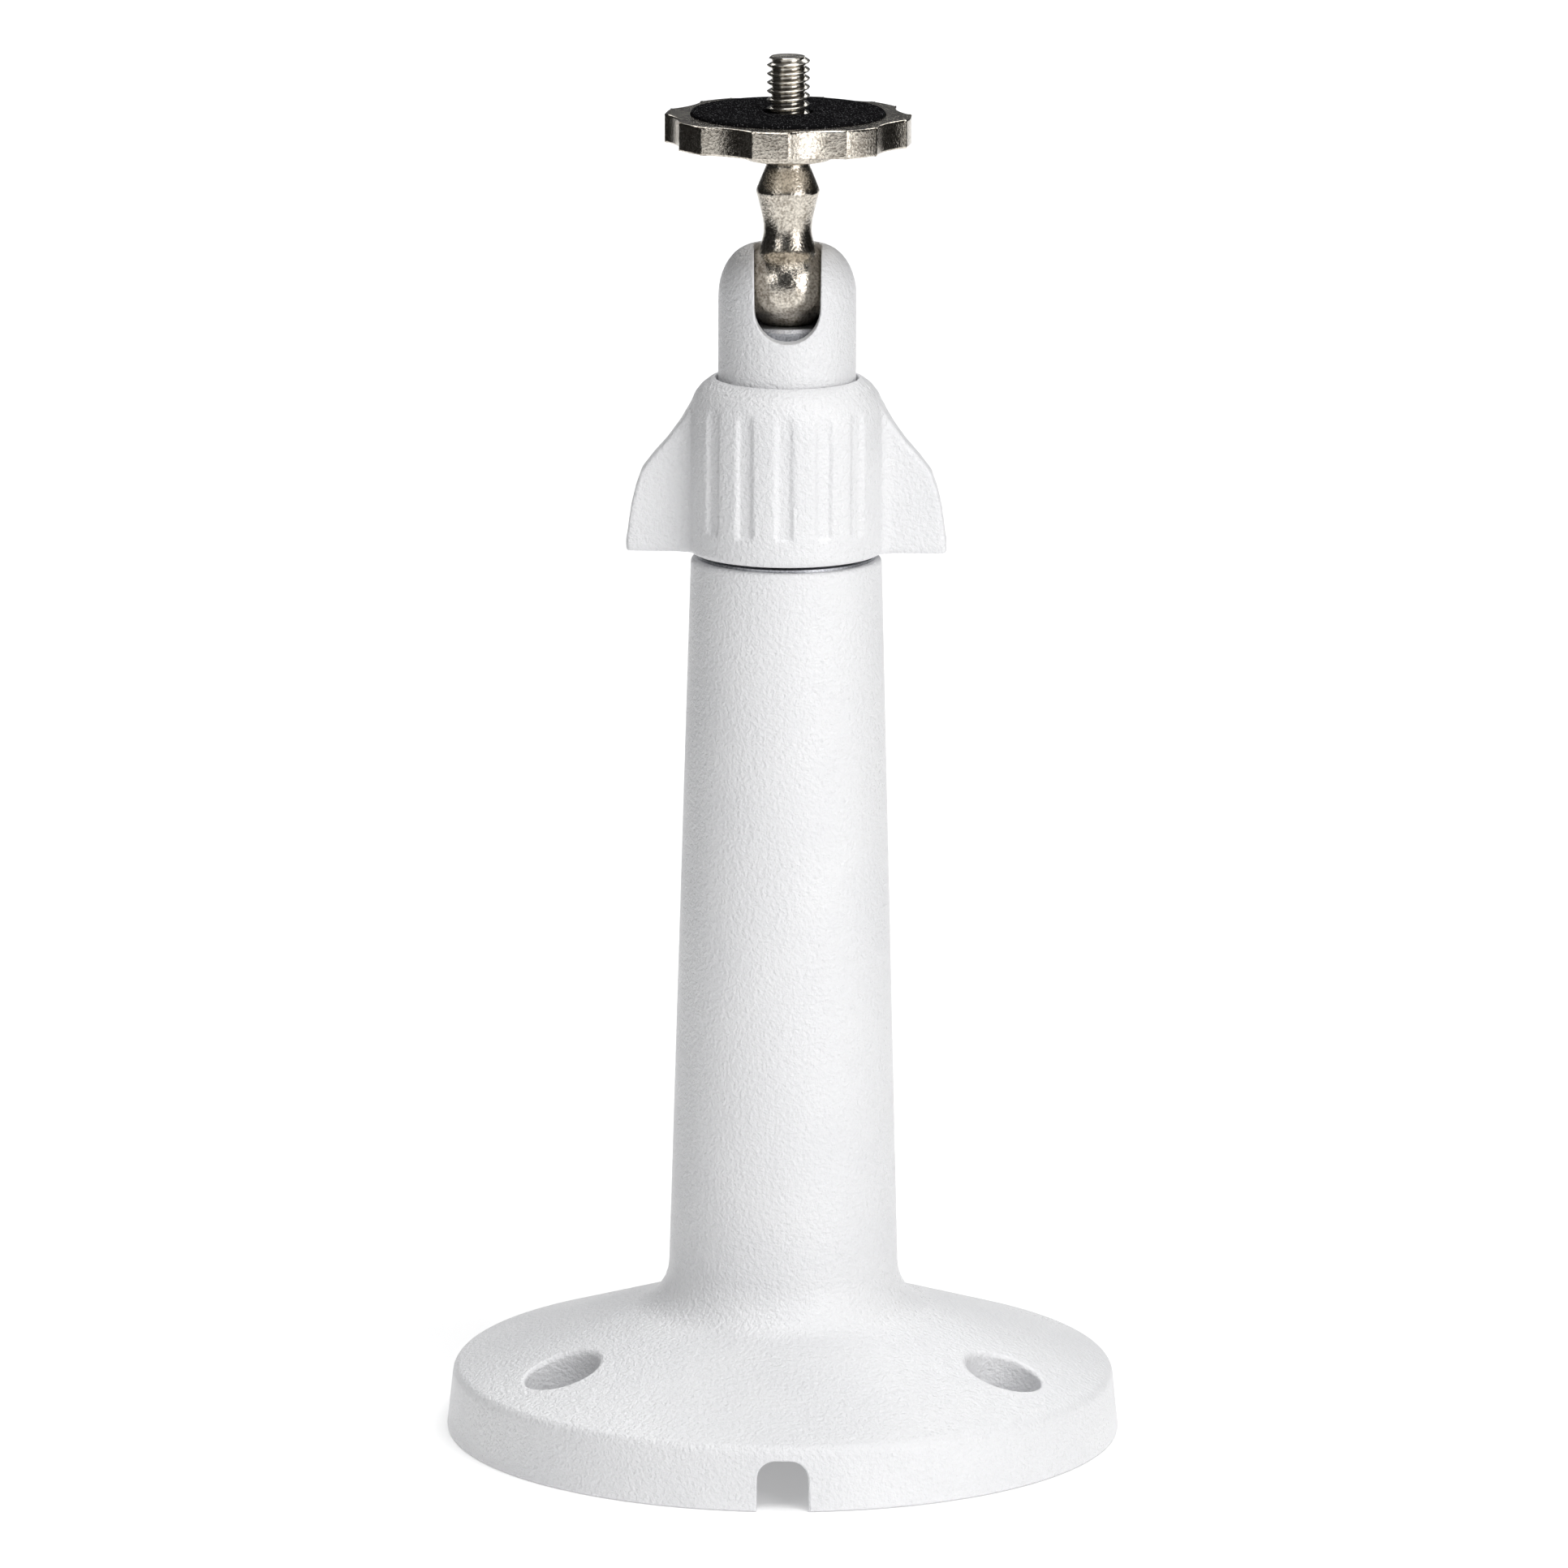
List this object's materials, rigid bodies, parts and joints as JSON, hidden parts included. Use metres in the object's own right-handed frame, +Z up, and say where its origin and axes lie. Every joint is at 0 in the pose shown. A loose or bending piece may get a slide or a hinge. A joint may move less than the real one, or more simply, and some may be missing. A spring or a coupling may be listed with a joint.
{
  "type": "security camera mounting bracket",
  "caption": "White flanged pedestal with a wing nut that clamps a slotted ball joint, ending in a camera screw with a scalloped lock disc and a black pad.",
  "frame": {"origin": "centre of the base's underside, where the column's axis meets the wall or table", "axes": "+Z up the column towards the camera screw, -Y towards the cable notch and the socket head's slot, +X to the right as seen from the slot side"},
  "size_m": [0.1, 0.0997, 0.2056],
  "materials": {
    "white_powder_coat": "satin",
    "raw_aluminium": "satin",
    "zinc_plated_steel": "satin",
    "nylon": "matte",
    "blasted_nickel": "blasted satin",
    "bright_nickel": "polished",
    "black_rubber": "matte"
  },
  "bodies": {
    "base": {"pedestal": "white_powder_coat", "spigot": "raw_aluminium", "spigot_bolt": "zinc_plated_steel", "bolt_washer": "zinc_plated_steel"},
    "clamp_ring": {"slip_washer": "nylon"},
    "nut": {"wing_nut": "white_powder_coat"},
    "head": {"socket_head": "white_powder_coat", "ball_seat": "raw_aluminium"},
    "stud": {"ball_stud": "blasted_nickel", "camera_screw": "bright_nickel"},
    "pad": {"grip_pad": "black_rubber"},
    "disc": {"lock_disc": "blasted_nickel"}
  },
  "joints": [
    {"name": "nut_rise", "type": "slide", "parent": "base", "child": "clamp_ring", "axis": [0, 0, 1], "range_m": [0, 0.00225]},
    {"name": "nut_turn", "type": "hinge", "parent": "clamp_ring", "child": "nut", "pos_m": [0, 0, 0.145], "axis": [0, 0, 1], "range_deg": [0, 540]},
    {"name": "head_pan", "type": "hinge", "parent": "base", "child": "head", "pos_m": [0, 0, 0.1535], "axis": [0, 0, 1], "continuous": true},
    {"name": "stud_tilt", "type": "hinge", "parent": "head", "child": "stud", "pos_m": [0, 0, 0.1719], "axis": [1, 0, 0], "range_deg": [-8, 90]},
    {"name": "disc_rise", "type": "slide", "parent": "stud", "child": "pad", "axis": [0, 0, 1], "range_m": [0, 0.00381]},
    {"name": "disc_turn", "type": "hinge", "parent": "pad", "child": "disc", "pos_m": [0, 0, 0.195], "axis": [0, 0, 1], "range_deg": [0, 1080]}
  ],
  "couplings": [
    {"joint": "nut_rise", "follows": "nut_turn", "m_per_rad": 0.00023873},
    {"joint": "disc_rise", "follows": "disc_turn", "m_per_rad": 0.00020213}
  ]
}
